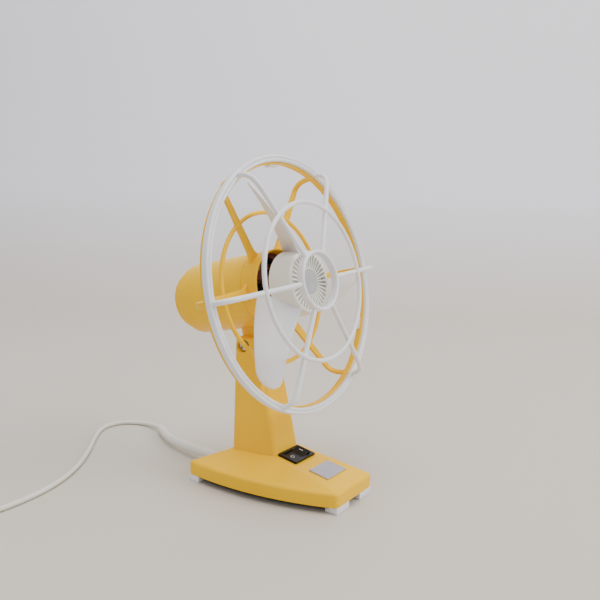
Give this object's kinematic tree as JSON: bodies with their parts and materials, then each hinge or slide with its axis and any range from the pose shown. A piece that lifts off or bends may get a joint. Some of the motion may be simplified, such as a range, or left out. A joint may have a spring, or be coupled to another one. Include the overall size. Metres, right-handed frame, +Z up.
{
  "type": "desk fan",
  "caption": "Mains desk fan: caged three-blade fan on a tilting motor head, tapered column and low wedge base with rocker switch.",
  "frame": {"origin": "on the table, in the plane of symmetry, halfway between the front of the base and the rear of the motor cap", "axes": "+Z up; the fan blows towards -Y; +X to the right seen from the front, with the I side of the switch"},
  "size_m": [0.4369, 0.3273, 0.3124],
  "materials": {
    "yellow_plastic": "gloss, moulded",
    "white_plastic": "satin, moulded",
    "cream_plastic": "satin",
    "grey_plastic": "satin",
    "dark_plastic": "semi-gloss",
    "zinc_steel": "zinc plated",
    "brushed_aluminium": "brushed",
    "cast_iron": "rough",
    "electrical_steel": "laminated",
    "copper_winding": "enamelled wire",
    "bronze": "sintered",
    "cord_vinyl": "soft satin",
    "pin_brass": "polished"
  },
  "bodies": {
    "base": {"base_plate": "dark_plastic", "base_screws": "zinc_steel", "base_shell": "yellow_plastic", "base_weight": "cast_iron", "column": "yellow_plastic", "column_screws": "zinc_steel", "front_foot_left": "white_plastic", "front_foot_right": "white_plastic", "rear_foot_left": "white_plastic", "rear_foot_right": "white_plastic", "tilt_bolt": "zinc_steel", "tilt_nut": "zinc_steel", "tilt_washer": "zinc_steel", "switch_body": "dark_plastic", "switch_terminals": "bronze", "name_plate": "brushed_aluminium", "cord": "cord_vinyl", "cord_coil": "cord_vinyl", "plug_lead": "cord_vinyl", "plug_body": "cord_vinyl", "plug_pins": "pin_brass", "strain_relief": "cord_vinyl"},
    "head": {"front_bracket": "brushed_aluminium", "front_bush": "bronze", "front_guard": "white_plastic", "front_winding": "copper_winding", "guard_clips": "white_plastic", "motor_housing": "yellow_plastic", "motor_tie_screws": "zinc_steel", "rear_bracket": "brushed_aluminium", "rear_bush": "bronze", "rear_cap": "yellow_plastic", "rear_guard": "yellow_plastic", "rear_winding": "copper_winding", "stator_stack": "electrical_steel"},
    "rotor": {"motor_shaft": "zinc_steel", "rotor_core": "electrical_steel", "fan_hub": "cream_plastic", "hub_disc": "grey_plastic", "fan_blade_1": "white_plastic", "fan_blade_2": "white_plastic", "fan_blade_3": "white_plastic"},
    "rocker": {"switch_rocker": "dark_plastic"}
  },
  "joints": [
    {"name": "head_tilt", "type": "hinge", "parent": "base", "child": "head", "pos_m": [0, 0.01495, 0.1305], "axis": [-1, 0, 0], "range_deg": [-12, 30]},
    {"name": "fan_spin", "type": "hinge", "parent": "head", "child": "rotor", "pos_m": [0, -0.03635, 0.19484], "axis": [0, -0.9759, 0.2181], "continuous": true},
    {"name": "switch_rock", "type": "hinge", "parent": "base", "child": "rocker", "pos_m": [0, -0.03938, 0.02664], "axis": [0, 0.9925, 0.1219], "range_deg": [0, 20]}
  ]
}
